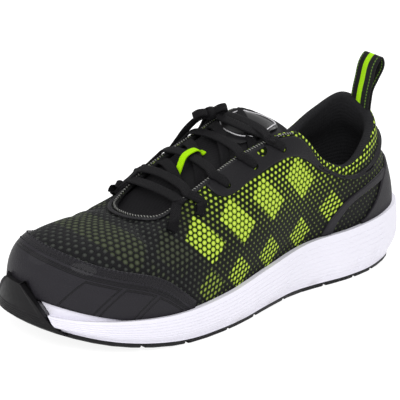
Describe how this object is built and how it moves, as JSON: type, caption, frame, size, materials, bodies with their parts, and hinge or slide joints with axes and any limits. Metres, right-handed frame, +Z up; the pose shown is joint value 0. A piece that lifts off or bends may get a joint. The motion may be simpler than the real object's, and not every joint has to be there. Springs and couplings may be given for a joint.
{
  "type": "safety sneaker",
  "caption": "Low laced safety sneaker for the left foot: mesh upper with smooth films, toe cap, foam midsole, rubber outsole with a toe guard.",
  "frame": {"origin": "on the floor, under the middle of the shoe's length and width, measured without the lace's knot, loops and ends", "axes": "+X from heel to toe, +Y to the outer (lateral) side, +Z up"},
  "size_m": [0.2982, 0.1118, 0.1352],
  "materials": {
    "foam": "matt white foam",
    "outsole_rubber": "matt black rubber",
    "mesh": "black open mesh over lime foam",
    "lining": "black knitted lining",
    "film": "charcoal fused film, satin",
    "tongue_cloth": "black smooth cloth",
    "webbing": "black woven band",
    "lace": "black flat braid",
    "lime_webbing": "lime woven band"
  },
  "bodies": {
    "root": {"midsole": "foam", "outsole": "outsole_rubber", "upper": "mesh", "insole": "lining", "toe_cap": "film", "heel_counter": "film", "eyestay_lateral": "film", "eyestay_medial": "film", "tongue": "tongue_cloth", "tongue_patch": "film", "pull_loop": "webbing", "webbing_lateral_1": "webbing", "webbing_lateral_2": "webbing", "webbing_medial_1": "webbing", "webbing_medial_2": "webbing", "laces": "lace", "lace_keeper": "lime_webbing", "lace_knot": "lace", "lace_loop_front": "lace", "lace_loop_back": "lace", "lace_end_front": "lace", "lace_end_back": "lace"}
  },
  "joints": []
}
